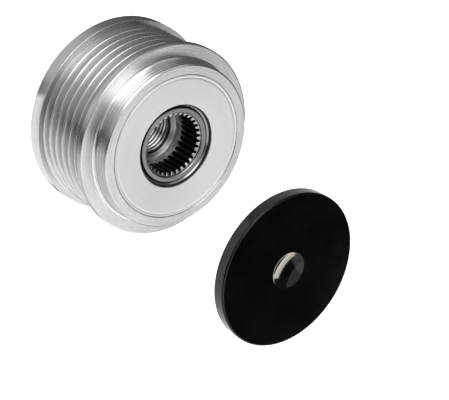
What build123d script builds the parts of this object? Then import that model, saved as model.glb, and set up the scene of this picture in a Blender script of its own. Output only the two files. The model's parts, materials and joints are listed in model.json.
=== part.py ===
"""Overrunning alternator pulley for a ribbed belt, with its dust cap taken off and lying beside it.

The pulley stands on the rear face of its hub. The origin is on the pulley's axis in that face, +Z runs along
the axis towards the front face, and all lengths are millimetres.
"""

import os
from math import acos, asin, cos, degrees, radians, sin, tan

from build123d import *

os.makedirs("parts", exist_ok=True)

# Belt rim: V grooves between two rims, whose walls stand on the outer grooves' flanks
groove_count = 6
groove_pitch = 3.56
groove_angle = 40.0
groove_depth = 2.87
groove_root_width = 0.9
crest_rise = 3.5
rim_foot_rise = 0.5
front_rim_rise = 1.3
front_rim_width = 2.34
rear_rim_rise = 1.8
rear_rim_width = 5.1
rear_rim_edge = 0.4
front_bevel_depth = 0.8
front_bevel_height = 0.35
rim_face_rise = 0.2

# Boss that carries the front plate and the dust cap
boss_height = 5.9
boss_wall = 3.3
boss_edge = 0.3
boss_root_radius = 1.2

# Front plate, pressed into the boss
plate_thickness = 1.0
plate_seat_width = 0.9
plate_hole_gap = 1.0
plate_hole_edge = 0.25
plate_edge = 0.12
plate_line_inset = 1.1
plate_line_width = 0.3
plate_line_depth = 0.1

# Hub
hub_stand_off = 1.8
nose_face_width = 1.3
nose_edge = 0.3
nose_recess = 1.5
nose_step = 0.6
rear_edge = 0.6
collar_height = 1.4
collar_rise = 1.2

# Hub bore: shaft pilot and thread from the rear, tool serration from the front
thread_radius = 8.0
thread_length = 17.4
thread_lead_in = 0.8
pilot_step = 0.52
pilot_depth = 3.0
pilot_edge = 0.4
bore_step = 1.5
serration_count = 33
serration_depth = 0.85
serration_half_width = 0.74
serration_length = 9.0
mouth_edge = 0.35
mouth_gap = 0.1
mouth_depth = 0.8

# Bearings and clutch between the hub and the ring
ramp_sleeve_wall = 3.0
needle_diameter = 3.44
needle_count = 12
running_gap = 0.03
outer_sleeve_wall = 2.0
sleeve_lip_thickness = 1.0
sleeve_lip_height = 2.3
bearing_width = 6.6
needle_length = 5.2
cage_gap = 0.3
cage_wall_gap = 0.45
pocket_gap = 0.12
washer_thickness = 1.0
washer_recess = 0.4
washer_gap = 0.05
washer_width = 2.5

# Clutch
roller_count = 10
roller_diameter = 3.8
roller_end_gap = 0.6
wedge_angle = 8.0
spring_strip = 0.5
spring_inset = 1.5
spring_reach = 3.0
clutch_pocket_play = 0.25

# Seals
seal_seat_step = 1.0
seal_height = 4.0
seal_recess = 0.5
seal_wall = 0.8
seal_lip_width = 3.2
seal_mouth_edge = 0.25
lip_height = 1.8
lip_gap = 0.1
lip_edge = 0.4

# Front slinger, a ring pressed on the hub's nose
slinger_wall = 1.0
slinger_thickness = 1.0
slinger_flange = 4.0
slinger_recess = 0.2
slinger_edge = 0.25

# Dust cap, lying on the floor with its open side down
cap_snap_gap = 0.05
cap_snap_wall = 1.0
cap_channel = 2.05
cap_skirt_wall = 1.7
cap_height = 5.0
cap_top = 1.2
cap_snap_height = 3.4
cap_edge_radius = 0.7
cap_dimple_radius = 7.6
cap_dimple_depth = 1.3
cap_centre = (19.0, 111.0)

# Heights, from the rear of the hub upwards
ring_low = hub_stand_off
belt_low = ring_low + rear_rim_width
belt_high = belt_low + groove_count * groove_pitch
rim_face = belt_high + front_rim_width
front_face = rim_face + boss_height
plate_low = front_face - plate_thickness
rear_seal_low = ring_low + seal_recess
sleeve_low = rear_seal_low + seal_height
sleeve_high = plate_low - seal_height
nose_high = front_face - nose_recess
slinger_high = nose_high - slinger_recess
front_washer_high = sleeve_high - washer_recess
nose_low = front_washer_high
ramp_low = sleeve_low + washer_thickness
ramp_high = front_washer_high - washer_thickness

# Radii, from the shaft thread outwards
pilot_radius = thread_radius + pilot_step
bore_radius = thread_radius + bore_step
ledge_radius = bore_radius + serration_depth + mouth_gap
mouth_radius = ledge_radius + mouth_edge
nose_radius = mouth_radius + nose_face_width + nose_edge
shaft_radius = nose_radius + nose_step
inner_race = shaft_radius + ramp_sleeve_wall
outer_race = inner_race + needle_diameter + 2 * running_gap
ring_bore = outer_race + outer_sleeve_wall
seal_seat = ring_bore + seal_seat_step
plate_radius = seal_seat + plate_seat_width
boss_radius = plate_radius + boss_wall
crest_radius = boss_radius + crest_rise
front_rim_radius = crest_radius + front_rim_rise
rear_rim_radius = crest_radius + rear_rim_rise
slinger_sleeve_radius = nose_radius + slinger_wall
slinger_radius = slinger_sleeve_radius + slinger_flange
plate_hole_radius = nose_radius + plate_hole_gap
seal_inner_radius = shaft_radius + seal_lip_width
sleeve_lip_radius = outer_race - sleeve_lip_height


def groove_points():
    """Outline of the V grooves, from the rear rim's edge to the front rim's edge."""
    slope = tan(radians(groove_angle / 2))
    root_radius = crest_radius - groove_depth
    foot_radius = crest_radius + rim_foot_rise
    half_root = groove_root_width / 2
    half_crest = half_root + groove_depth * slope
    half_foot = half_crest + rim_foot_rise * slope
    rear_foot = belt_low + groove_pitch / 2 - half_foot
    front_foot = belt_high - groove_pitch / 2 + half_foot
    points = [(rear_rim_radius, rear_foot), (foot_radius, rear_foot)]
    for i in range(groove_count):
        middle = belt_low + (i + 0.5) * groove_pitch
        if i > 0:
            points.append((crest_radius, middle - half_crest))
        points += [(root_radius, middle - half_root), (root_radius, middle + half_root)]
        if i < groove_count - 1:
            points.append((crest_radius, middle + half_crest))
    return [*points, (foot_radius, front_foot), (front_rim_radius, front_foot)]


# The turned ring: belt rim outside, boss in front, seats for sleeve, seals and plate inside
boss_root = (boss_radius, rim_face)
outside_points = [
    (seal_seat + seal_mouth_edge, ring_low),
    (rear_rim_radius - rear_rim_edge, ring_low),
    (rear_rim_radius, ring_low + rear_rim_edge),
    *groove_points(),
    (front_rim_radius, rim_face - rim_face_rise - front_bevel_height),
    (front_rim_radius - front_bevel_depth, rim_face - rim_face_rise),
    boss_root,
    (boss_radius, front_face - boss_edge),
    (boss_radius - boss_edge, front_face),
]
inside_points = [
    (plate_radius + plate_edge, front_face),
    (plate_radius, front_face - plate_edge),
    (plate_radius, plate_low),
    (seal_seat, plate_low),
    (seal_seat, sleeve_high),
    (ring_bore, sleeve_high),
    (ring_bore, sleeve_low),
    (seal_seat, sleeve_low),
    (seal_seat, ring_low + seal_mouth_edge),
]
ring_points = outside_points + inside_points
ring_corners = [boss_root_radius if point == boss_root else 0 for point in ring_points]
with BuildPart() as pulley_ring:
    with BuildSketch(Plane.XZ):
        with BuildLine():
            FilletPolyline(*ring_points, radius=ring_corners, close=True)
        make_face()
    revolve(axis=Axis.Z)
pulley_ring.part.label = "pulley_ring"
export_step(pulley_ring.part, "parts/pulley_ring.step")

# Drawn sleeve in the ring: outer raceway, with a turned-in lip at each end
with BuildPart() as outer_sleeve:
    with BuildSketch(Plane.XZ):
        with BuildLine():
            Polyline(
                (ring_bore, sleeve_low),
                (ring_bore, sleeve_high),
                (sleeve_lip_radius, sleeve_high),
                (sleeve_lip_radius, sleeve_high - sleeve_lip_thickness),
                (outer_race, sleeve_high - sleeve_lip_thickness),
                (outer_race, sleeve_low + sleeve_lip_thickness),
                (sleeve_lip_radius, sleeve_low + sleeve_lip_thickness),
                (sleeve_lip_radius, sleeve_low),
                close=True,
            )
        make_face()
    revolve(axis=Axis.Z)
outer_sleeve.part.label = "outer_sleeve"
export_step(outer_sleeve.part, "parts/outer_sleeve.step")

# Front plate: its face is bare, with a fine turned line near the edge
plate_line = plate_radius - plate_line_inset
with BuildPart() as front_cover_plate:
    with BuildSketch(Plane.XZ):
        with BuildLine():
            Polyline(
                (plate_hole_radius, plate_low),
                (plate_radius, plate_low),
                (plate_radius, front_face - plate_edge),
                (plate_radius - plate_edge, front_face),
                (plate_line + plate_line_width, front_face),
                (plate_line, front_face - plate_line_depth),
                (plate_line, front_face),
                (plate_hole_radius + plate_hole_edge, front_face),
                (plate_hole_radius, front_face - plate_hole_edge),
                close=True,
            )
        make_face()
    revolve(axis=Axis.Z)
front_cover_plate.part.label = "front_cover_plate"
export_step(front_cover_plate.part, "parts/front_cover_plate.step")

# Hub: shaft sleeve with a thrust collar, stepped bore and tool serration
thread_low = pilot_depth
thread_high = thread_low + thread_length
collar_radius = shaft_radius + collar_rise
with BuildPart() as hub:
    with BuildSketch(Plane.XZ):
        with BuildLine():
            Polyline(
                (pilot_radius + pilot_edge, 0),
                (shaft_radius - rear_edge, 0),
                (shaft_radius, rear_edge),
                (shaft_radius, sleeve_low - collar_height),
                (collar_radius, sleeve_low - collar_height),
                (collar_radius, sleeve_low),
                (shaft_radius, sleeve_low),
                (shaft_radius, nose_low),
                (nose_radius, nose_low),
                (nose_radius, nose_high - nose_edge),
                (nose_radius - nose_edge, nose_high),
                (mouth_radius, nose_high),
                (ledge_radius, nose_high - mouth_depth),
                (bore_radius, nose_high - mouth_depth),
                (bore_radius, thread_high + thread_lead_in),
                (thread_radius, thread_high),
                (thread_radius, thread_low),
                (pilot_radius, thread_low),
                (pilot_radius, pilot_edge),
                close=True,
            )
        make_face()
    revolve(axis=Axis.Z)
    with BuildSketch(Plane.XY.offset(nose_high)):
        with PolarLocations(bore_radius, serration_count):
            Polygon(
                (-serration_depth, -2 * serration_half_width),
                (serration_depth, 0),
                (-serration_depth, 2 * serration_half_width),
                align=None,
            )
    extrude(amount=-(mouth_depth + serration_length), mode=Mode.SUBTRACT)
hub.part.label = "hub"
export_step(hub.part, "parts/hub.step")

# Sleeve on the hub: plain raceways at its ends, clamping ramps in its middle
rear_cage_low = sleeve_low + sleeve_lip_thickness + cage_gap
rear_cage_high = rear_cage_low + bearing_width
front_cage_high = sleeve_high - sleeve_lip_thickness - cage_gap
front_cage_low = front_cage_high - bearing_width
clutch_low = rear_cage_high + cage_gap
clutch_high = front_cage_low - cage_gap
clutch_height = clutch_high - clutch_low
roller_centre = outer_race - roller_diameter / 2
roller_offset = roller_centre * sin(radians(wedge_angle))
roller_level = roller_centre * cos(radians(wedge_angle))
ramp_level = roller_level - roller_diameter / 2
with BuildPart() as ramp_sleeve:
    with BuildSketch(Plane.XY.offset(ramp_low)):
        Circle(inner_race)
        Circle(shaft_radius, mode=Mode.SUBTRACT)
    extrude(amount=ramp_high - ramp_low)
    with BuildSketch(Plane.XY.offset(clutch_low)):
        Circle(inner_race)
        RegularPolygon(
            ramp_level, roller_count, major_radius=False, rotation=180 / roller_count, mode=Mode.SUBTRACT
        )
    extrude(amount=clutch_height, mode=Mode.SUBTRACT)
ramp_sleeve.part.label = "ramp_sleeve"
export_step(ramp_sleeve.part, "parts/ramp_sleeve.step")


# Cages and rollers
needle_circle = (inner_race + outer_race) / 2
window_height = needle_length + 2 * pocket_gap


def ring_of_cylinders(radius, count, diameter, low, height, start_angle=0):
    """Rollers standing in a circle, as one group of separate solids."""
    with BuildPart() as group:
        with BuildSketch(Plane.XY.offset(low)):
            with PolarLocations(radius, count, start_angle=start_angle):
                Circle(diameter / 2)
        extrude(amount=height)
    return group.part


def bearing_cage(low):
    """Cage with one window for each needle."""
    with BuildPart() as cage:
        with BuildSketch(Plane.XY.offset(low)):
            Circle(outer_race - cage_wall_gap)
            Circle(inner_race + cage_wall_gap, mode=Mode.SUBTRACT)
        extrude(amount=bearing_width)
        with BuildSketch(Plane.XY.offset(low + (bearing_width - window_height) / 2)):
            with PolarLocations(needle_circle, needle_count):
                Rectangle(needle_diameter + 2 * cage_wall_gap, needle_diameter + 2 * pocket_gap)
        extrude(amount=window_height, mode=Mode.SUBTRACT)
    return cage.part


# Needle bearings either side of the clutch
for side, cage_low in (("rear", rear_cage_low), ("front", front_cage_low)):
    cage_part = bearing_cage(cage_low)
    cage_part.label = f"{side}_bearing_cage"
    export_step(cage_part, f"parts/{side}_bearing_cage.step")
    needle_low = cage_low + (bearing_width - needle_length) / 2
    needle_part = ring_of_cylinders(needle_circle, needle_count, needle_diameter, needle_low, needle_length)
    needle_part.label = f"{side}_bearing_needles"
    export_step(needle_part, f"parts/{side}_bearing_needles.step")

# Clutch rollers, each resting on its ramp just short of the raceway
roller_height = clutch_height - 2 * roller_end_gap
clutch_middle = (clutch_low + clutch_high) / 2
roller_low = clutch_middle - roller_height / 2
free_diameter = roller_diameter - 2 * running_gap
clutch_rollers = ring_of_cylinders(
    roller_centre, roller_count, free_diameter, roller_low, roller_height, wedge_angle
)
clutch_rollers.label = "clutch_rollers"
export_step(clutch_rollers, "parts/clutch_rollers.step")

# Clutch cage: each of its pockets holds a roller and a spring
pocket_from = -spring_reach - clutch_pocket_play
pocket_to = roller_offset + roller_diameter / 2 + clutch_pocket_play
pocket_height = roller_height + 2 * pocket_gap
with BuildPart() as clutch_cage:
    with BuildSketch(Plane.XY.offset(clutch_low)):
        Circle(outer_race - cage_wall_gap)
        Circle(inner_race + cage_wall_gap, mode=Mode.SUBTRACT)
    extrude(amount=clutch_height)
    with BuildSketch(Plane.XY.offset(clutch_middle - pocket_height / 2)):
        with PolarLocations(0, roller_count):
            Polygon(
                (shaft_radius, pocket_from),
                (outer_race, pocket_from),
                (outer_race, pocket_to),
                (shaft_radius, pocket_to),
                align=None,
            )
    extrude(amount=pocket_height, mode=Mode.SUBTRACT)
clutch_cage.part.label = "clutch_cage"
export_step(clutch_cage.part, "parts/clutch_cage.step")

# Folded leaf springs that push the rollers up their ramps
spring_low = inner_race + cage_wall_gap
spring_high = outer_race - cage_wall_gap - spring_strip
spring_end = roller_offset - roller_diameter / 2
spring_fold = (spring_end + spring_reach) / 3
spring_front = [
    (spring_high, -spring_reach),
    (spring_low, -spring_reach + spring_fold),
    (spring_high, -spring_reach + 2 * spring_fold),
    (spring_low, spring_end),
]
spring_back = [(level + spring_strip, across) for level, across in reversed(spring_front)]
spring_height = roller_height - 2 * spring_inset
with BuildPart() as clutch_springs:
    with BuildSketch(Plane.XY.offset(clutch_middle - spring_height / 2)):
        with PolarLocations(0, roller_count):
            Polygon(*spring_front, *spring_back, align=None)
    extrude(amount=spring_height)
clutch_springs.part.label = "clutch_springs"
export_step(clutch_springs.part, "parts/clutch_springs.step")


def thrust_washer(low):
    """Plain washer on the shaft, beside the ramp sleeve."""
    with BuildPart() as washer:
        with BuildSketch(Plane.XY.offset(low)):
            Circle(shaft_radius + washer_gap + washer_width)
            Circle(shaft_radius + washer_gap, mode=Mode.SUBTRACT)
        extrude(amount=washer_thickness)
    return washer.part


def seal_case(low):
    """Pressed steel case of a shaft seal, with its web at the low side."""
    with BuildPart() as case:
        with BuildSketch(Plane.XZ):
            with BuildLine():
                Polyline(
                    (seal_inner_radius, low),
                    (seal_seat, low),
                    (seal_seat, low + seal_height),
                    (seal_seat - seal_wall, low + seal_height),
                    (seal_seat - seal_wall, low + seal_wall),
                    (seal_inner_radius, low + seal_wall),
                    close=True,
                )
            make_face()
        revolve(axis=Axis.Z)
    return case.part


def seal_lip(low, sealed_radius):
    """Rubber ring moulded to the case's web, its lip just off the sealed surface."""
    lip_radius = sealed_radius + lip_gap
    with BuildPart() as lip:
        with BuildSketch(Plane.XZ):
            with BuildLine():
                Polyline(
                    (seal_inner_radius, low),
                    (seal_inner_radius, low + seal_wall),
                    (seal_inner_radius - lip_edge, low + lip_height),
                    (lip_radius + lip_edge, low + lip_height),
                    (lip_radius, low + lip_height - lip_edge),
                    (lip_radius, low + lip_height - 2 * lip_edge),
                    (lip_radius + 2 * lip_edge, low),
                    close=True,
                )
            make_face()
        revolve(axis=Axis.Z)
    return lip.part


# What comes in pairs, rear and front: thrust washers, seal cases and seal lips
paired_parts = {
    "rear_thrust_washer": thrust_washer(sleeve_low),
    "front_thrust_washer": thrust_washer(ramp_high),
    "rear_seal_case": seal_case(rear_seal_low),
    "front_seal_case": seal_case(sleeve_high),
    "rear_seal_lip": seal_lip(rear_seal_low, shaft_radius),
    "front_seal_lip": seal_lip(sleeve_high, slinger_sleeve_radius),
}
for name, paired_part in paired_parts.items():
    paired_part.label = name
    export_step(paired_part, f"parts/{name}.step")

# Slinger on the hub's nose: a sleeve that the front lip runs on, and a flange under the plate
with BuildPart() as front_slinger:
    with BuildSketch(Plane.XZ):
        with BuildLine():
            Polyline(
                (nose_radius, nose_low),
                (slinger_sleeve_radius, nose_low),
                (slinger_sleeve_radius, slinger_high - slinger_thickness),
                (slinger_radius, slinger_high - slinger_thickness),
                (slinger_radius, slinger_high),
                (nose_radius + slinger_edge, slinger_high),
                (nose_radius, slinger_high - slinger_edge),
                close=True,
            )
        make_face()
    revolve(axis=Axis.Z)
front_slinger.part.label = "front_slinger"
export_step(front_slinger.part, "parts/front_slinger.step")

# Dust cap: a round shell with a shallow dimple, a skirt and an inner wall that snaps over the boss
cap_x, cap_y = cap_centre
cap_snap_radius = boss_radius + cap_snap_gap
cap_channel_radius = cap_snap_radius + cap_snap_wall
cap_skirt_radius = cap_channel_radius + cap_channel
cap_radius = cap_skirt_radius + cap_skirt_wall
cap_under = cap_height - cap_top
dimple_sphere = (cap_dimple_radius**2 + cap_dimple_depth**2) / (2 * cap_dimple_depth)
dimple_arc = degrees(asin(cap_dimple_radius / dimple_sphere))
bulge_sphere = dimple_sphere + cap_top
bulge_arc = degrees(acos((bulge_sphere - cap_dimple_depth) / bulge_sphere))
with BuildPart() as dust_cap:
    with BuildSketch(Plane(origin=(cap_x, cap_y, 0), x_dir=(1, 0, 0), z_dir=(0, -1, 0))):
        with BuildLine():
            dimple = JernArc((0, cap_height - cap_dimple_depth), (1, 0), dimple_sphere, dimple_arc)
            bulge = JernArc((0, cap_under - cap_dimple_depth), (1, 0), bulge_sphere, bulge_arc)
            FilletPolyline(
                bulge @ 1,
                (cap_snap_radius, cap_under),
                (cap_snap_radius, cap_under - cap_snap_height),
                (cap_channel_radius, cap_under - cap_snap_height),
                (cap_channel_radius, cap_under),
                (cap_skirt_radius, cap_under),
                (cap_skirt_radius, 0),
                (cap_radius, 0),
                (cap_radius, cap_height),
                dimple @ 1,
                radius=[0, 0, 0, 0, 0, 0, 0, cap_edge_radius],
            )
            Line(dimple @ 0, bulge @ 0)
        make_face()
    revolve(axis=Axis((cap_x, cap_y, 0), (0, 0, 1)))
dust_cap.part.label = "dust_cap"
export_step(dust_cap.part, "parts/dust_cap.step")
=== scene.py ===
"""Looks of the overrunning alternator pulley and its dust cap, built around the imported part.

Each visible piece is finer than the solid that it stands for: an outline of corners, given in the part's
millimetres as (radius, height, corner radius), revolved about a vertical axis. Blender's objects are in
metres.
"""

import json
import math

import bpy
from mathutils import Matrix, Vector


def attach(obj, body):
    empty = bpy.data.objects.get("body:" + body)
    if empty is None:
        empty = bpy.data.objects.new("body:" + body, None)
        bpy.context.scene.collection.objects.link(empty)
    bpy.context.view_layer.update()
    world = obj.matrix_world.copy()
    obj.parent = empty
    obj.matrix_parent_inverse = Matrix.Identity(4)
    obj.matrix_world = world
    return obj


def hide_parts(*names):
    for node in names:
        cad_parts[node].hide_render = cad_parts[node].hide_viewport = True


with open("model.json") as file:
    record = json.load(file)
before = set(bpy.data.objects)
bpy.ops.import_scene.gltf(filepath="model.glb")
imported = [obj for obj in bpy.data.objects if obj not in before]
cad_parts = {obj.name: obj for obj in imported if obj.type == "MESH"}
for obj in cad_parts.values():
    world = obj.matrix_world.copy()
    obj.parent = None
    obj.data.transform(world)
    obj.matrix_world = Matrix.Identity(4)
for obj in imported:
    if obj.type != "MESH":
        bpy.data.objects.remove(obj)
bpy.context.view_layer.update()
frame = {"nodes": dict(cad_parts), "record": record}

MM = 0.001

# Sizes of the part, in millimetres: _R is a radius, and heights are above the hub's rear face
REAR_RIM_R, FRONT_RIM_R, CREST_R, BOSS_R = 32.0, 31.5, 30.2, 26.7
RING_LOW, BELT_LOW, RIM_FACE, FRONT = 1.8, 6.9, 30.6, 36.5
GROOVES, PITCH, GROOVE_DEPTH, ROOT_WIDTH, FOOT_RISE = 6, 3.56, 2.87, 0.9, 0.5
FLANK_SLOPE = math.tan(math.radians(20))
SEAT_R, RING_BORE_R, SLEEVE_LOW, SLEEVE_HIGH = 22.5, 21.5, 6.3, 31.5
PLATE_R, PLATE_THICK, HOLE_R, HOLE_HIGH = 23.4, 1.0, 13.7, 35.86
NOSE_R, NOSE_LOW, NOSE_HIGH, MOUTH_R = 12.4, 31.1, 35.0, 10.95
SHAFT_R, COLLAR_R, COLLAR_THICK, PILOT_R = 13.0, 14.2, 1.4, 8.52
BORE_R, ROOT_R, TEETH = 9.5, 10.35, 33
TOOTH_TOP, TOOTH_BOTTOM, LEAD_IN, LEAD_IN_REACH, RUN_OUT = 34.35, 25.2, 0.55, 0.85, 1.4
THREAD_R, THREAD_LOW, THREAD_HIGH, THREAD_PITCH, THREAD_DEPTH = 8.0, 3.0, 21.9, 1.5, 0.81
CAP_R, CAP_HIGH, CAP_X, CAP_Y = 31.5, 5.0, 19.0, 111.0


# Outlines and meshes

SHARP_ANGLE = math.radians(32)


def rounded(corners, guard=0.05, step=14):
    """Closed outline of (radius, height) points, from corners given as (radius, height, corner radius).
    An arc has a point about every step degrees, and one more, guard mm beyond each of its ends, keeps the
    shading of the straight runs flat."""
    points = []
    for i, (radius, height, corner) in enumerate(corners):
        here = Vector((radius, height))
        if corner == 0:
            points.append(here)
            continue
        to_last = Vector(corners[i - 1][:2]) - here
        to_next = Vector(corners[(i + 1) % len(corners)][:2]) - here
        back, onward = to_last.normalized(), to_next.normalized()
        between = back.angle(onward)
        reach = corner / math.tan(between / 2)
        centre = here + (back + onward).normalized() * (corner / math.sin(between / 2))
        start, end = here + back * reach - centre, here + onward * reach - centre
        side = 1 if start.x * end.y - start.y * end.x > 0 else -1
        sweep = math.pi - between
        steps = max(2, round(math.degrees(sweep) / step))
        long_enough = reach + 3 * guard
        if to_last.length > long_enough:
            points.append(here + back * (reach + guard))
        for k in range(steps + 1):
            angle = side * sweep * k / steps
            cos, sin = math.cos(angle), math.sin(angle)
            points.append(centre + Vector((start.x * cos - start.y * sin, start.x * sin + start.y * cos)))
        if to_next.length > long_enough:
            points.append(here + onward * (reach + guard))
    return [(point.x, point.y) for point in points]


def lathe(name, outline, angles, relief=None, centre=(0, 0)):
    """Mesh object of a closed outline revolved about the vertical through centre.
    relief(row, column, radius) may give a point's own radius."""
    vertices = []
    for row, (radius, height) in enumerate(outline):
        for column, angle in enumerate(angles):
            own = relief(row, column, radius) if relief else radius
            x, y = centre[0] + own * math.cos(angle), centre[1] + own * math.sin(angle)
            vertices.append((x * MM, y * MM, height * MM))
    rows, columns = len(outline), len(angles)
    faces = []
    for row in range(rows):
        low, high = row * columns, (row + 1) % rows * columns
        for column in range(columns):
            after = (column + 1) % columns
            faces.append((low + column, low + after, high + after, high + column))
    mesh = bpy.data.meshes.new(name)
    mesh.from_pydata(vertices, [], faces)
    mesh.validate()
    piece = bpy.data.objects.new(name, mesh)
    bpy.context.scene.collection.objects.link(piece)
    mesh.polygons.foreach_set("use_smooth", [True] * len(mesh.polygons))
    mesh.set_sharp_from_angle(angle=SHARP_ANGLE)
    return piece


def turn(count):
    """Angles of a full turn in equal steps."""
    return [2 * math.pi * i / count for i in range(count)]


# Materials

class Nodes:
    """Short ways to add and join the nodes of a material or of the world."""

    def __init__(self, tree):
        self.tree = tree

    def add(self, kind, inputs=(), **settings):
        node = self.tree.nodes.new("ShaderNode" + kind)
        for key, value in settings.items():
            setattr(node, key, value)
        for key, value in dict(inputs).items():
            self.put(node.inputs[key], value)
        return node

    def put(self, socket, value):
        if isinstance(value, bpy.types.NodeSocket):
            self.tree.links.new(value, socket)
        else:
            socket.default_value = value

    def math(self, operation, a, b=0.0):
        return self.add("Math", {0: a, 1: b}, operation=operation).outputs[0]

    def remap(self, value, low, high, new_low, new_high, kind="LINEAR"):
        sockets = {0: value, 1: low, 2: high, 3: new_low, 4: new_high}
        return self.add("MapRange", sockets, interpolation_type=kind).outputs[0]

    def rise(self, value, low, high):
        """0 below low, 1 above high."""
        return self.remap(value, low, high, 0.0, 1.0, "SMOOTHSTEP")

    def fall(self, value, low, high):
        """1 below low, 0 above high."""
        return self.remap(value, low, high, 1.0, 0.0, "SMOOTHSTEP")

    def band(self, value, start, end):
        """1 from start to end and 0 outside. Both are pairs of values between which it changes."""
        return self.product(self.rise(value, *start), self.fall(value, *end))

    def chain(self, operation, values):
        result = values[0]
        for value in values[1:]:
            result = self.math(operation, result, value)
        return result

    def product(self, *values):
        return self.chain("MULTIPLY", values)

    def total(self, *values):
        return self.chain("ADD", values)

    def most(self, *values):
        return self.chain("MAXIMUM", values)

    def mix(self, share, base, other):
        """Base colour, with a share of the other one over it."""
        return self.add("MixRGB", {0: share, 1: base, 2: other}).outputs[0]

    def ramp(self, value, *stops):
        """Colour ramp of (place, (r, g, b)) stops."""
        node = self.add("ValToRGB", {0: value})
        while len(node.color_ramp.elements) < len(stops):
            node.color_ramp.elements.new(0.5)
        for element, (place, colour) in zip(node.color_ramp.elements, stops):
            element.position = place
            element.color = (*colour, 1)
        return node.outputs[0]

    def noise(self, vector, scale, detail=3, roughness=0.5):
        inputs = {"Vector": vector, "Scale": scale, "Detail": detail, "Roughness": roughness}
        return self.add("TexNoise", inputs).outputs["Fac"]

    def parts(self, vector):
        """The x, y and z of a vector."""
        return self.add("SeparateXYZ", {0: vector}).outputs

    def level(self, x, y):
        """Level vector of x and y."""
        return self.add("CombineXYZ", {0: x, 1: y}).outputs[0]

    def length(self, vector):
        return self.add("VectorMath", {0: vector}, operation="LENGTH").outputs["Value"]


class Shader(Nodes):
    """A material, whose object coordinates are metres in the part's frame."""

    def __init__(self, name):
        self.material = bpy.data.materials.new(name)
        self.material.use_nodes = True
        super().__init__(self.material.node_tree)
        self.bsdf = self.tree.nodes["Principled BSDF"]

    def place(self):
        return self.add("TexCoord").outputs["Object"]

    def place_mm(self):
        """The x, y and z of the place, in millimetres."""
        return [self.product(part, 1 / MM) for part in self.parts(self.place())]

    def radius_and_height(self):
        """Distance from the axis and height, in millimetres."""
        x, y, z = self.place_mm()
        return self.length(self.level(x, y)), z

    def round_place(self, around, across):
        """Coordinates that change slowly round the axis and quickly along a turned outline."""
        x, y, z = self.parts(self.place())
        flat = self.level(x, y)
        unit = self.add("VectorMath", {0: flat}, operation="NORMALIZE").outputs[0]
        slow = self.add("VectorMath", {0: unit, "Scale": around}, operation="SCALE").outputs[0]
        along = self.product(self.total(self.length(flat), z), across)
        lift = self.add("CombineXYZ", {2: along}).outputs[0]
        return self.add("VectorMath", {0: slow, 1: lift}, operation="ADD").outputs[0]

    def bump(self, height, strength, distance, normal=None):
        inputs = {"Height": height, "Strength": strength, "Distance": distance}
        if normal is not None:
            inputs["Normal"] = normal
        return self.add("Bump", inputs).outputs[0]


# Shares of the coarser noises in a steel's shade, how far the shade and the roughness stray from their
# middle, and the lightest that a colour gets
BROAD_SHARE, CLOUD_SHARE, STRAY, UNEVEN, LIGHTEST = 0.3, 0.25, 0.2, 0.08, 0.97
# What the zones of a steel turn into: painted shade, a painted highlight, and dull bare metal
PAINTED_SHADE, PAINTED_HIGHLIGHT = (0.012, 0.012, 0.012, 1), (0.78, 0.78, 0.78, 1)
DULL_DARK, DULL_LIGHT, DULL_ROUGHNESS, DULL_METALLIC = (0.4, 0.4, 0.4), (0.8, 0.8, 0.79), 0.16, 0.9
# Heights of the marks and grains that bump shows
FINE_HEIGHT, STREAK_HEIGHT, GRAIN_HEIGHT, PLASTIC_HEIGHT = 0.02 * MM, 0.03 * MM, 0.012 * MM, 0.02 * MM


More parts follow.
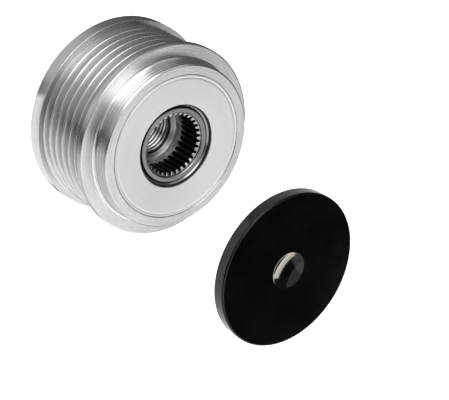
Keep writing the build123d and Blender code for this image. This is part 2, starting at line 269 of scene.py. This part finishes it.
def steel(name, colour, roughness, anisotropy, streaks=0.5, grit=0.3, tone=0.07, marks=0.1, zones=None):
    """Turned metal: marks run round the axis, so that light spreads across them.
    streaks, grit and marks are the strengths of its coarse marks, grain and fine marks, and tone is how far
    its colour strays. zones(shader) may give shares, by name, of painted shade, of dull bare metal and of a
    painted highlight."""
    shader = Shader(name)
    fine = shader.noise(shader.round_place(around=2.0, across=7000), scale=1.0, detail=2)
    streak = shader.noise(shader.round_place(around=4.0, across=2600), scale=1.0, detail=3, roughness=0.6)
    broad = shader.noise(shader.round_place(around=1.5, across=420), scale=1.0, detail=2)
    cloud = shader.noise(shader.place(), scale=110, detail=4, roughness=0.6)
    grain = shader.noise(shader.place(), scale=1500, detail=2)
    shade = shader.total(
        shader.product(streak, streaks), shader.product(broad, BROAD_SHARE),
        shader.product(cloud, CLOUD_SHARE), shader.product(grain, grit),
    )
    middle = (streaks + BROAD_SHARE + CLOUD_SHARE + grit) / 2
    span = middle - STRAY, middle + STRAY
    dark = tuple(part * (1 - tone) for part in colour)
    light = tuple(min(LIGHTEST, part * (1 + tone)) for part in colour)
    tint = shader.ramp(shader.remap(shade, *span, 0, 1), (0.0, dark), (1.0, light))
    rough = shader.remap(shade, *span, roughness * (1 + UNEVEN), roughness * (1 - UNEVEN))
    metallic = 1.0
    shares = zones(shader) if zones else {}
    if "bare" in shares:
        patches = shader.noise(shader.place(), scale=420, detail=5, roughness=0.65)
        tint = shader.mix(shares["bare"], tint, shader.ramp(patches, (0.36, DULL_DARK), (0.62, DULL_LIGHT)))
        rough = shader.total(rough, shader.product(shares["bare"], DULL_ROUGHNESS))
        metallic = shader.remap(shares["bare"], 0, 1, 1.0, DULL_METALLIC)
    # Painted highlight: the zones that catch light are made lighter in the colour
    if "painted_highlight" in shares:
        tint = shader.mix(shares["painted_highlight"], tint, PAINTED_HIGHLIGHT)
    # Painted shade: the zones where shade falls are darkened in the colour
    if "painted_shade" in shares:
        tint = shader.mix(shares["painted_shade"], tint, PAINTED_SHADE)
    normal = shader.bump(fine, marks, FINE_HEIGHT)
    normal = shader.bump(streak, streaks, STREAK_HEIGHT, normal)
    normal = shader.bump(grain, grit, GRAIN_HEIGHT, normal)
    sockets = shader.bsdf.inputs
    shader.put(sockets["Base Color"], tint)
    shader.put(sockets["Metallic"], metallic)
    sockets["Anisotropic"].default_value = anisotropy
    sockets["Anisotropic Rotation"].default_value = 0.25
    shader.put(sockets["Tangent"], shader.add("Tangent", direction_type="RADIAL", axis="Z").outputs[0])
    shader.put(sockets["Roughness"], rough)
    shader.put(sockets["Normal"], normal)
    return shader.material


def plastic(name, colour, roughness, grain_scale, grain, gloss=0.5):
    """Moulded plastic or rubber with a faint grain and uneven polish."""
    shader = Shader(name)
    cloud = shader.noise(shader.place(), scale=60, detail=5, roughness=0.6)
    grit = shader.noise(shader.place(), grain_scale)
    light = tuple(min(1, part * 1.5 + 0.001) for part in colour)
    sockets = shader.bsdf.inputs
    shader.put(sockets["Base Color"], shader.ramp(cloud, (0.35, colour), (0.75, light)))
    shader.put(sockets["Roughness"], shader.remap(cloud, 0.3, 0.7, roughness * 0.85, roughness * 1.2))
    sockets["Specular IOR Level"].default_value = gloss
    shader.put(sockets["Normal"], shader.bump(grit, grain, PLASTIC_HEIGHT))
    return shader.material


# Edges of the hub's and the slinger's zones: pairs of radii or heights between which a zone starts or ends
MOUTH_EDGE = (MOUTH_R - 0.05, MOUTH_R)
TOOTH_FLANK = (BORE_R + 0.03, BORE_R + 0.16)
TEETH_START = (TOOTH_BOTTOM - 0.2, TOOTH_BOTTOM + 0.1)
TEETH_SHADE_START = (TOOTH_BOTTOM + 1.1, TOOTH_BOTTOM + 2.8)
TOOTH_END_TOP = (TOOTH_TOP - 0.01, TOOTH_TOP + 0.01)
RECESS_START, RECESS_END = (TOOTH_TOP + 0.02, TOOTH_TOP + 0.05), (NOSE_HIGH - 0.36, NOSE_HIGH - 0.31)
RECESS_WALL = (MOUTH_R - 0.27, MOUTH_R - 0.23)
NOSE_EDGE, NOSE_START = (NOSE_R - 0.3, NOSE_R - 0.18), (NOSE_LOW - 0.6, NOSE_LOW - 0.1)
THREAD_START, THREAD_END = (THREAD_LOW, THREAD_LOW + 0.3), (THREAD_HIGH - 0.6, THREAD_HIGH - 0.2)
THREAD_WALL, THREAD_FLANK = (THREAD_R + 0.3, THREAD_R + 0.4), (THREAD_R - 0.6, THREAD_R - 0.25)
BARE_START, BARE_END = (THREAD_HIGH + 0.4, THREAD_HIGH + 1.0), (TOOTH_BOTTOM + 0.4, TOOTH_BOTTOM + 1.2)
SLOPE_FOOT, SLOPE_TOP = (NOSE_R + 0.18, NOSE_R + 0.26), (NOSE_R + 0.82, NOSE_R + 0.9)
# The same for heights above the teeth's sloping ends
BELOW_TOOTH_END = (-0.14, -0.05)
# How much of a full share the weaker zones have
TEETH_SHADE_SHARE, NOSE_SHADE_SHARE, THREAD_SHADE_SHARE, ENDS_HIGHLIGHT_SHARE = 0.93, 0.97, 0.92, 0.3


def hub_zones(shader):
    """Painted shade in the serration's grooves, over the teeth above their run-out, in the recess above
    them, in the gap round the nose and in the thread's roots; a rough wall between serration and thread;
    painted highlights on the thread's crests and the tooth ends."""
    radius, height = shader.radius_and_height()
    inside = shader.fall(radius, *MOUTH_EDGE)
    end_slope = LEAD_IN / LEAD_IN_REACH
    tooth_end = shader.total(shader.product(radius, end_slope), TOOTH_TOP - LEAD_IN - BORE_R * end_slope)
    below_end = shader.fall(shader.math("SUBTRACT", height, tooth_end), *BELOW_TOOTH_END)
    teeth = shader.product(shader.rise(height, *TEETH_START), below_end, inside)
    # Painted shade: grooves, teeth above the run-out, recess, gap round the nose and thread roots
    grooves = shader.product(teeth, shader.rise(radius, *TOOTH_FLANK))
    shaded_teeth = shader.product(teeth, shader.rise(height, *TEETH_SHADE_START), TEETH_SHADE_SHARE)
    recess = shader.product(shader.band(height, RECESS_START, RECESS_END), shader.fall(radius, *RECESS_WALL))
    outside = shader.product(shader.rise(radius, *NOSE_EDGE), shader.rise(height, *NOSE_START), NOSE_SHADE_SHARE)
    thread = shader.product(shader.band(height, THREAD_START, THREAD_END), shader.fall(radius, *THREAD_WALL))
    thread_roots = shader.product(thread, shader.rise(radius, *THREAD_FLANK), THREAD_SHADE_SHARE)
    painted_shade = shader.most(shader.total(grooves, recess, thread_roots, outside), shaded_teeth)
    bare = shader.product(shader.band(height, BARE_START, BARE_END), inside)
    # Painted highlight on the thread's crests and the tooth ends
    thread_crests = shader.product(thread, shader.fall(radius, *THREAD_FLANK))
    tooth_ends = shader.product(
        shader.math("SUBTRACT", 1.0, below_end), shader.fall(height, *TOOTH_END_TOP), inside, ENDS_HIGHLIGHT_SHARE
    )
    return {
        "painted_shade": shader.math("MINIMUM", painted_shade, 1.0),
        "bare": bare,
        "painted_highlight": shader.total(thread_crests, tooth_ends),
    }


def slinger_zones(shader):
    """Painted shade in the gaps on both sides of the ring's outward slope."""
    radius, _ = shader.radius_and_height()
    gap_shade = shader.total(shader.fall(radius, *SLOPE_FOOT), shader.rise(radius, *SLOPE_TOP))
    return {"painted_shade": shader.math("MINIMUM", gap_shade, 1.0)}


STEELS = {
    "turned_steel": dict(colour=(0.62, 0.625, 0.63), roughness=0.25, anisotropy=0.7, streaks=0.9, tone=0.09),
    "plate_steel": dict(
        colour=(0.66, 0.665, 0.665), roughness=0.52, anisotropy=0.3, streaks=0.06, tone=0.04, marks=0.03
    ),
    "hub_steel": dict(
        colour=(0.25, 0.252, 0.255), roughness=0.34, anisotropy=0.6, streaks=0.3, zones=hub_zones
    ),
    "ring_steel": dict(
        colour=(0.32, 0.323, 0.326), roughness=0.24, anisotropy=0.5, streaks=0.2, zones=slinger_zones
    ),
    "race_steel": dict(colour=(0.5, 0.5, 0.51), roughness=0.25, anisotropy=0.6, streaks=0.2),
    "roller_steel": dict(colour=(0.7, 0.71, 0.72), roughness=0.16, anisotropy=0.2, streaks=0.1, marks=0.03),
    "spring_steel": dict(colour=(0.55, 0.53, 0.5), roughness=0.35, anisotropy=0.3, streaks=0.2),
    "seal_steel": dict(colour=(0.6, 0.61, 0.62), roughness=0.4, anisotropy=0.4, streaks=0.2),
}
PLASTICS = {
    "cage_plastic": dict(colour=(0.03, 0.03, 0.032), roughness=0.55, grain_scale=1500, grain=0.3),
    "seal_rubber": dict(colour=(0.006, 0.006, 0.006), roughness=0.5, grain_scale=900, grain=0.2),
    "cap_plastic": dict(
        colour=(0.0006, 0.0006, 0.0007), roughness=0.1, grain_scale=500, grain=0.02, gloss=0.3
    ),
}
finishes = {name: steel(name, **look) for name, look in STEELS.items()}
finishes.update({name: plastic(name, **look) for name, look in PLASTICS.items()})

for subpart in frame["record"]["subparts"]:
    node = frame["nodes"][subpart["node"]]
    node.data.materials.clear()
    node.data.materials.append(finishes[subpart["material_slot"]])


def finish(piece, slot_name, body, node):
    """Gives a piece its material and its slot, and puts it in a node's place on a body."""
    piece.data.materials.append(finishes[slot_name])
    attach(piece, body)
    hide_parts(node)


# Belt ring
FINE_COLUMNS, COLUMNS, CAP_COLUMNS = 288, 192, 240
BORE_CHAMFER, REAR_EXTRA, REAR_SLOPE_IN, REAR_SLOPE_UP = 0.25, 0.25, 0.7, 1.0
ROOT_ROUND, CREST_ROUND, RIM_ROUND, FOOT_ROUND, BOSS_FILLET = 0.25, 0.3, 0.25, 0.12, 0.9
FACE_EDGE_IN, FACE_EDGE_DROP, FACE_DROP = 0.4, 0.3, 0.1
LINES_ABOVE_FACE, LINE_HALF_WIDTH, LINE_DEPTH = (1.6, 3.0, 4.5), 0.07, 0.08
BOSS_CHAMFER, PLATE_GAP = 0.4, 0.09


def ring_outline():
    """Outline of the ring's section, from the rear edge round the outside and back through the bore."""
    half_root = ROOT_WIDTH / 2
    half_crest = half_root + GROOVE_DEPTH * FLANK_SLOPE
    half_foot = half_crest + FOOT_RISE * FLANK_SLOPE
    rear = RING_LOW - REAR_EXTRA
    rear_foot = BELT_LOW + PITCH / 2 - half_foot
    front_foot = BELT_LOW + (GROOVES - 0.5) * PITCH + half_foot
    corners = [
        (SEAT_R + BORE_CHAMFER, rear, 0.0),
        (REAR_RIM_R - REAR_SLOPE_IN, rear, 0.4),
        (REAR_RIM_R, rear + REAR_SLOPE_UP, 0.5),
        (REAR_RIM_R, rear_foot + FOOT_ROUND, FOOT_ROUND),
        (CREST_R, rear_foot + FOOT_RISE * FLANK_SLOPE, RIM_ROUND),
    ]
    for i in range(GROOVES):
        middle = BELT_LOW + (i + 0.5) * PITCH
        root = CREST_R - GROOVE_DEPTH
        if i:
            corners.append((CREST_R, middle - half_crest, CREST_ROUND))
        corners.append((root, middle - half_root, ROOT_ROUND))
        corners.append((root, middle + half_root, ROOT_ROUND))
        if i < GROOVES - 1:
            corners.append((CREST_R, middle + half_crest, CREST_ROUND))
    corners += [
        (CREST_R + FOOT_RISE, front_foot, FOOT_ROUND),
        (FRONT_RIM_R, front_foot, RIM_ROUND),
        (FRONT_RIM_R, RIM_FACE - FACE_EDGE_DROP, 0.1),
        (FRONT_RIM_R - FACE_EDGE_IN, RIM_FACE - FACE_DROP, 0.15),
        (BOSS_R, RIM_FACE, BOSS_FILLET),
    ]
    for above in LINES_ABOVE_FACE:
        corners += [
            (BOSS_R, RIM_FACE + above - LINE_HALF_WIDTH, 0.0),
            (BOSS_R - LINE_DEPTH, RIM_FACE + above, 0.0),
            (BOSS_R, RIM_FACE + above + LINE_HALF_WIDTH, 0.0),
        ]
    corners += [
        (BOSS_R, FRONT - BOSS_CHAMFER, RIM_ROUND),
        (BOSS_R - BOSS_CHAMFER, FRONT, RIM_ROUND),
        (PLATE_R + 2 * PLATE_GAP, FRONT, 0.0),
        (PLATE_R + PLATE_GAP, FRONT - PLATE_GAP, 0.0),
        (PLATE_R + PLATE_GAP, FRONT - PLATE_THICK, 0.0),
        (SEAT_R, FRONT - PLATE_THICK, 0.0),
        (SEAT_R, SLEEVE_HIGH, 0.0),
        (RING_BORE_R, SLEEVE_HIGH, 0.0),
        (RING_BORE_R, SLEEVE_LOW, 0.0),
        (SEAT_R, SLEEVE_LOW, 0.0),
        (SEAT_R, RING_LOW + BORE_CHAMFER, 0.0),
    ]
    return rounded(corners)


ring = lathe("belt_ring", ring_outline(), turn(FINE_COLUMNS))
finish(ring, "turned_steel", "pulley", "pulley_ring")

# Front plate, slightly dished towards its hole and with a fine line near its edge
PLATE_LINE_IN, PLATE_LINE_HALF_WIDTH, PLATE_LINE_DEPTH = 0.93, 0.13, 0.07
DISH_START_IN, DISH_START_DROP, DISH_UNDER_IN, DISH_UNDER_DROP = 1.6, 0.02, 1.5, 1.4
plate = lathe(
    "front_plate",
    rounded([
        (HOLE_R, FRONT - DISH_UNDER_DROP, 0.0),
        (SEAT_R - DISH_UNDER_IN, FRONT - PLATE_THICK, 0.0),
        (PLATE_R - PLATE_GAP, FRONT - PLATE_THICK, 0.0),
        (PLATE_R - PLATE_GAP, FRONT - PLATE_GAP, 0.0),
        (PLATE_R - 2 * PLATE_GAP, FRONT, 0.0),
        (PLATE_R - PLATE_LINE_IN + PLATE_LINE_HALF_WIDTH, FRONT, 0.0),
        (PLATE_R - PLATE_LINE_IN, FRONT - PLATE_LINE_DEPTH, 0.0),
        (PLATE_R - PLATE_LINE_IN - PLATE_LINE_HALF_WIDTH, FRONT, 0.0),
        (PLATE_R - DISH_START_IN, FRONT - DISH_START_DROP, 0.0),
        (HOLE_R, HOLE_HIGH + 0.1, 0.12),
    ]),
    turn(FINE_COLUMNS),
)
finish(plate, "plate_steel", "pulley", "front_cover_plate")

# Black lip in the plate's hole, a dark ring put there as painted shade for the gap between the hole's edge
# and the nose
LIP_LOW, LIP_BEND, LIP_OVERLAP, LIP_TOP_IN, LIP_BEND_IN, LIP_LOW_IN = 35.08, 35.5, 0.02, 0.14, 0.34, 0.38
lip = lathe(
    "plate_hole_shade_lip",
    rounded([
        (HOLE_R + LIP_OVERLAP, LIP_LOW, 0.0),
        (HOLE_R + LIP_OVERLAP, HOLE_HIGH - 0.06, 0.0),
        (HOLE_R - LIP_TOP_IN, HOLE_HIGH - 0.1, 0.08),
        (HOLE_R - LIP_BEND_IN, LIP_BEND, 0.1),
        (HOLE_R - LIP_LOW_IN, LIP_LOW, 0.08),
    ]),
    turn(COLUMNS),
)
lip.data.materials.append(finishes["seal_rubber"])
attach(lip, "pulley")

# Hub, with the serration's teeth and the shaft thread.
# Half a groove between teeth, as (distance round the bore from its middle, radius)
HALF_GROOVE = (
    (0.0, ROOT_R - 0.12),
    (0.18, ROOT_R - 0.15),
    (0.34, ROOT_R - 0.3),
    (0.46, BORE_R + 0.3),
    (0.56, BORE_R + 0.07),
    (0.66, BORE_R),
)
TOOTH_ANGLE = 2 * math.pi / TEETH
# A tooth with half a groove on each side of it, as (angle, radius)
TOOTH_COLUMNS = (
    [(across / BORE_R, radius) for across, radius in HALF_GROOVE]
    + [(TOOTH_ANGLE / 2, BORE_R)]
    + [(TOOTH_ANGLE - across / BORE_R, radius) for across, radius in reversed(HALF_GROOVE[1:])]
)
hub_angles = [tooth * TOOTH_ANGLE + angle for tooth in range(TEETH) for angle, _ in TOOTH_COLUMNS]

PILOT_CHAMFER, REAR_CHAMFER, REAR_ROUND, NOSE_CHAMFER, NOSE_ROUND = 0.4, 0.6, 0.15, 0.3, 0.12
hub_outline = rounded([
    (PILOT_R + PILOT_CHAMFER, 0.0, 0.0),
    (SHAFT_R - REAR_CHAMFER, 0.0, REAR_ROUND),
    (SHAFT_R, REAR_CHAMFER, REAR_ROUND),
    (SHAFT_R, SLEEVE_LOW - COLLAR_THICK, 0.0),
    (COLLAR_R, SLEEVE_LOW - COLLAR_THICK, 0.0),
    (COLLAR_R, SLEEVE_LOW, 0.0),
    (SHAFT_R, SLEEVE_LOW, 0.0),
    (SHAFT_R, NOSE_LOW, 0.0),
    (NOSE_R, NOSE_LOW, 0.0),
    (NOSE_R, NOSE_HIGH - NOSE_CHAMFER, NOSE_ROUND),
    (NOSE_R - NOSE_CHAMFER, NOSE_HIGH, NOSE_ROUND),
    (MOUTH_R, NOSE_HIGH, 0.08),
    (MOUTH_R - 0.33, NOSE_HIGH - 0.35, 0.05),
    (MOUTH_R - 0.45, NOSE_HIGH - 0.61, 0.0),
    (MOUTH_R - 0.5, NOSE_HIGH - 0.63, 0.0),
], guard=0.03)

# Levels of the serration from the top, as (height, least radius, share of the teeth's depth)
TOOTH_LEVELS = (
    (TOOTH_TOP, BORE_R + LEAD_IN_REACH, 1.0),
    (TOOTH_TOP - LEAD_IN, BORE_R, 1.0),
    (TOOTH_BOTTOM + RUN_OUT, BORE_R, 1.0),
    (TOOTH_BOTTOM, BORE_R, 0.0),
)
serrated = {}
for level, least_radius, share in TOOTH_LEVELS:
    serrated[len(hub_outline)] = (least_radius, share)
    hub_outline.append((BORE_R, level))

COUNTERSINK, ROWS_PER_TURN = 0.8, 12
# Turns from the middle of the thread's ridge to its foot, and those that its flank takes
RIDGE_FOOT, RIDGE_FLANK = 0.44, 0.31
hub_outline += [
    (BORE_R, THREAD_HIGH + COUNTERSINK),
    (THREAD_R + 0.02, THREAD_HIGH),
]
threaded = {}
thread_step = THREAD_PITCH / ROWS_PER_TURN
thread_rows = int((THREAD_HIGH - THREAD_LOW) / thread_step)
for k in range(1, thread_rows):
    threaded[len(hub_outline)] = min(1.0, (k - 1) / ROWS_PER_TURN, (thread_rows - 1 - k) / ROWS_PER_TURN)
    hub_outline.append((THREAD_R, THREAD_HIGH - k * thread_step))
hub_outline += [
    (THREAD_R, THREAD_LOW),
    (PILOT_R, THREAD_LOW - 0.01),
    (PILOT_R, PILOT_CHAMFER),
]


def hub_relief(row, column, radius):
    """Radius of a hub point: teeth in the serration, a helical ridge in the thread, plain elsewhere."""
    if row in serrated:
        least_radius, share = serrated[row]
        tooth_radius = TOOTH_COLUMNS[column % len(TOOTH_COLUMNS)][1]
        return max(least_radius, BORE_R + share * (tooth_radius - BORE_R))
    if row in threaded:
        turns = hub_outline[row][1] / THREAD_PITCH - hub_angles[column] / (2 * math.pi)
        off_middle = abs(turns % 1 - 0.5)
        ridge = min(1.0, max(0.0, (RIDGE_FOOT - off_middle) / RIDGE_FLANK))
        return radius - THREAD_DEPTH * threaded[row] * ridge
    return radius


hub = lathe("hub_machined", hub_outline, hub_angles, hub_relief)
finish(hub, "hub_steel", "hub", "hub")

# Slinger ring on the nose: a sleeve and a flange, with a bright slope that rises outwards beside the nose
SLINGER_WALL, FLANGE_WIDTH, FLANGE_LOW, FLANGE_HIGH = 1.0, 5.0, 33.8, 34.5
slinger = lathe(
    "slinger_ring",
    rounded([
        (NOSE_R, NOSE_LOW, 0.0),
        (NOSE_R + SLINGER_WALL, NOSE_LOW, 0.0),
        (NOSE_R + SLINGER_WALL, FLANGE_LOW, 0.0),
        (NOSE_R + FLANGE_WIDTH, FLANGE_LOW, 0.0),
        (NOSE_R + FLANGE_WIDTH, FLANGE_HIGH, 0.2),
        (NOSE_R + 0.9, FLANGE_HIGH, 0.08),
        (NOSE_R + 0.84, FLANGE_HIGH + 0.55, 0.05),
        (NOSE_R + 0.3, FLANGE_HIGH + 0.1, 0.0),
        (NOSE_R + 0.22, FLANGE_HIGH - 0.2, 0.0),
        (NOSE_R, FLANGE_HIGH - 0.25, 0.0),
    ], guard=0.03),
    turn(COLUMNS),
)
finish(slinger, "ring_steel", "hub", "front_slinger")

# Dust cap: a top of even thickness with a round dimple, a side wall, and a snap wall inside it
DIMPLE_R, DIMPLE_DEPTH, TOP_THICK, SNAP_LENGTH, AXIS_R = 7.6, 1.3, 1.2, 3.4, 0.02
SNAP_R, CHANNEL_R, SKIRT_R = BOSS_R + 0.05, BOSS_R + 1.05, BOSS_R + 3.1
CAP_ROUND, CAP_TOP_ROUND, ARC_STEPS = 0.15, 0.7, 14
ceiling = CAP_HIGH - TOP_THICK
cap_outline = rounded([
    (SNAP_R, ceiling, 0.0),
    (SNAP_R, ceiling - SNAP_LENGTH, CAP_ROUND),
    (CHANNEL_R, ceiling - SNAP_LENGTH, CAP_ROUND),
    (CHANNEL_R, ceiling, 0.0),
    (SKIRT_R, ceiling, 0.0),
    (SKIRT_R, 0.0, CAP_ROUND),
    (CAP_R, 0.0, CAP_ROUND),
    (CAP_R, CAP_HIGH, CAP_TOP_ROUND),
    (DIMPLE_R, CAP_HIGH, 0.0),
], step=9)
upper_sphere = (DIMPLE_R**2 + DIMPLE_DEPTH**2) / (2 * DIMPLE_DEPTH)
upper_arc = math.asin(DIMPLE_R / upper_sphere)
under_sphere = upper_sphere + TOP_THICK
under_arc = math.acos((under_sphere - DIMPLE_DEPTH) / under_sphere)
dimple_floor, dimple_under = CAP_HIGH - DIMPLE_DEPTH, ceiling - DIMPLE_DEPTH
for k in range(ARC_STEPS):
    angle = upper_arc * (1 - k / ARC_STEPS)
    cap_outline.append((upper_sphere * math.sin(angle), dimple_floor + upper_sphere * (1 - math.cos(angle))))
cap_outline += [(AXIS_R, dimple_floor), (AXIS_R, dimple_under)]
for k in range(1, ARC_STEPS + 1):
    angle = under_arc * k / ARC_STEPS
    cap_outline.append((under_sphere * math.sin(angle), dimple_under + under_sphere * (1 - math.cos(angle))))
cap = lathe("dust_cap_moulded", cap_outline, turn(CAP_COLUMNS), centre=(CAP_X, CAP_Y))
finish(cap, "cap_plastic", "hub", "dust_cap")


# Camera, at the photograph's viewing angle and roll
LENS, SENSOR, CLIP_START = 120.27, 36, 0.01
CAMERA_PLACE = (0.0, -0.3165, 0.3749)
RIGHT = Vector((-0.5051, 0.6086, 0.6120))
UP = Vector((-0.8629, -0.3441, -0.3701))
BACK = Vector((-0.0146, -0.7150, 0.6989))
camera = bpy.data.objects.new("camera", bpy.data.cameras.new("camera"))
bpy.context.scene.collection.objects.link(camera)
camera.data.sensor_width = SENSOR
camera.data.lens = LENS
camera.data.clip_start = CLIP_START
turned = Matrix((RIGHT, UP, BACK)).transposed().to_4x4()
camera.matrix_world = Matrix.Translation(CAMERA_PLACE) @ turned
bpy.context.scene.camera = camera

# Floor: reflections and shadows leave it out, so that the metal mirrors the studio's own light, also from
# below
FLOOR_SIZE, FLOOR_LEVEL = 6, -0.05 * MM
WHITE, BLACK = (1, 1, 1, 1), (0, 0, 0, 1)
bpy.ops.mesh.primitive_plane_add(size=FLOOR_SIZE, location=(0, 0, FLOOR_LEVEL))
floor = bpy.context.object
floor.name = "floor"
floor.visible_glossy = False
floor.visible_shadow = False
paint = Shader("floor_paint")
pale = paint.ramp(paint.noise(paint.place(), scale=8), (0.3, (0.86, 0.86, 0.86)), (0.7, (0.9, 0.9, 0.9)))
paint.put(paint.bsdf.inputs["Base Color"], pale)
paint.bsdf.inputs["Roughness"].default_value = 0.9
paint.bsdf.inputs["Specular IOR Level"].default_value = 0.1
paint.bsdf.inputs["Emission Color"].default_value = WHITE
paint.bsdf.inputs["Emission Strength"].default_value = 0.8
floor.data.materials.append(paint.material)

# Lit table, seen in reflections alone: a bright stretch beside the rear rim, a darker foot where it starts,
# which is a painted shadow of the pulley on the table, and a disc under the cap and round it. Its edges are
# pairs of millimetres between which they fade
GLOW_SIZE, GLOW_LEVEL = 0.4, -0.2 * MM
START_X, END_X, NEAR_Y, FAR_Y_LESS_X = (8, 10), (80, 100), (-38.5, -34.5), (-42, -36)
FOOT_START_X, FOOT_END_R, DISC_END_R = (-1, 6), (37, 38.5), (37, 41)
BY_RIM_R, RIM_GLOW, TABLE_GLOW, FOOT_SHARE, DISC_GLOW = (36.5, 38.5), 1.2, 0.8, 0.2, 0.7
bpy.ops.mesh.primitive_plane_add(size=GLOW_SIZE, location=(0, 0, GLOW_LEVEL))
glow = bpy.context.object
glow.name = "table_glow"
glow.visible_camera = False
glow.visible_diffuse = False
glow.visible_shadow = False
shine = Shader("table_glow")
x, y, _ = shine.place_mm()
past_start = shine.rise(x, *START_X)
stretch = shine.product(
    past_start,
    shine.fall(x, *END_X),
    shine.rise(y, *NEAR_Y),
    shine.fall(shine.math("SUBTRACT", y, x), *FAR_Y_LESS_X),
)
axis_distance = shine.length(shine.level(x, y))
# Painted shadow of the pulley's foot on the table
foot_shadow = shine.product(shine.fall(axis_distance, *FOOT_END_R), shine.band(x, FOOT_START_X, START_X))
beside_rim = shine.product(
    shine.remap(axis_distance, *BY_RIM_R, RIM_GLOW, TABLE_GLOW),
    shine.remap(past_start, 0, 1, FOOT_SHARE, 1.0),
)
cap_distance = shine.length(shine.level(shine.math("SUBTRACT", x, CAP_X), shine.math("SUBTRACT", y, CAP_Y)))
disc = shine.fall(cap_distance, *DISC_END_R)
brightness = shine.total(beside_rim, shine.product(disc, DISC_GLOW))
shine.put(shine.bsdf.inputs["Alpha"], shine.most(stretch, foot_shadow, disc))
shine.put(shine.bsdf.inputs["Emission Strength"], brightness)
shine.bsdf.inputs["Emission Color"].default_value = WHITE
shine.bsdf.inputs["Base Color"].default_value = BLACK
shine.bsdf.inputs["Specular IOR Level"].default_value = 0.0
glow.data.materials.append(shine.material)

# Pale backdrop all round, seen by the camera alone
bpy.ops.mesh.primitive_uv_sphere_add(segments=64, ring_count=32, radius=2.9)
backdrop = bpy.context.object
backdrop.name = "backdrop"
backdrop.visible_glossy = False
backdrop.visible_diffuse = False
backdrop.visible_shadow = False
backdrop.data.materials.append(paint.material)

bpy.context.scene.view_settings.view_transform = "Standard"

# Light from all round: soft panels in the world. Each has its azimuth from +X towards +Y, half its width and
# half its edges' softness in degrees, the sines of its lowest and highest elevation, and its brightness
PANELS = (
    (-127, 26, 6, -0.05, 0.98, 3.1),
    (-172, 16, 8, -0.05, 0.9, 0.6),
    (-90, 10, 5, 0.25, 0.98, 0.75),
    (-82, 17, 7, -0.05, 0.25, 0.7),
    (-70, 8, 2, -0.05, 0.98, 0.36),
    (16, 55, 3, 0.25, 0.98, 1.08),
    (19, 52, 4, -0.05, 0.25, 1.05),
    (146, 40, 14, -0.05, 0.9, 0.1),
    (-108, 40, 24, -0.95, -0.05, 0.6),
    (-68, 12, 8, -0.95, -0.05, 0.12),
    (-175, 20, 12, -0.95, -0.05, 0.08),
    (12, 42, 9, -0.95, -0.05, 0.4),
    (150, 60, 14, -0.95, -0.05, 0.06),
)
DARKEST, ELEVATION_SOFTNESS, NOT_ZERO = 0.03, 0.07, 0.0001
world = bpy.data.worlds.new("studio")
bpy.context.scene.world = world
world.use_nodes = True
studio = Nodes(world.node_tree)
toward_x, toward_y, toward_z = studio.parts(studio.add("TexCoord").outputs["Generated"])
level_reach = studio.math("SQRT", studio.total(
    studio.product(toward_x, toward_x), studio.product(toward_y, toward_y), NOT_ZERO
))


def panel(azimuth, half_width, soft, low, high, brightness):
    """Light of one of the world's panels."""
    cos, sin = math.cos(math.radians(azimuth)), math.sin(math.radians(azimuth))
    along = studio.total(studio.product(toward_x, cos), studio.product(toward_y, sin))
    cosine = studio.math("DIVIDE", along, level_reach)
    outer, inner = (math.cos(math.radians(half_width + side)) for side in (soft, -soft))
    bottom, top = ((sine - ELEVATION_SOFTNESS, sine + ELEVATION_SOFTNESS) for sine in (low, high))
    return studio.product(studio.rise(cosine, outer, inner), studio.band(toward_z, bottom, top), brightness)


light = studio.total(DARKEST, *(panel(*row) for row in PANELS))
studio.put(studio.tree.nodes["Background"].inputs["Color"], light)
studio.tree.nodes["Background"].inputs["Strength"].default_value = 1.0


def softbox(name, target, way, distance, width, height, shift, brightness, colour=(1, 1, 1)):
    """Area light of a given brightness, at a distance from its target along way and facing it,
    shifted sideways and upwards in its own plane."""
    lamp = bpy.data.lights.new(name, "AREA")
    lamp.shape = "RECTANGLE"
    lamp.size, lamp.size_y = width, height
    lamp.color = colour
    lamp.energy = brightness * math.pi * width * height
    holder = bpy.data.objects.new(name, lamp)
    bpy.context.scene.collection.objects.link(holder)
    facing = way.to_track_quat("Z", "Y").to_matrix()
    centre = target + way * distance + facing @ Vector((*shift, 0))
    holder.matrix_world = Matrix.Translation(centre) @ facing.to_4x4()
    holder.visible_camera = False


# The pulley's flat faces mirror the first, near panel and the dust cap's top doesn't. The cap's dimple
# mirrors the second
softbox(
    "face_panel", target=Vector((0, 0, FRONT)) * MM, way=Vector((0, 0.683, 0.730)), distance=0.25,
    width=0.24, height=0.3, shift=(-0.05, 0.08), brightness=0.93,
)
softbox(
    "dimple_lamp", target=Vector((CAP_X, CAP_Y, CAP_HIGH)) * MM,
    way=Vector((0.088, 0.927, 0.366)).normalized(), distance=0.25,
    width=0.13, height=0.075, shift=(0, 0), brightness=8.0, colour=(1.0, 0.95, 0.88),
)
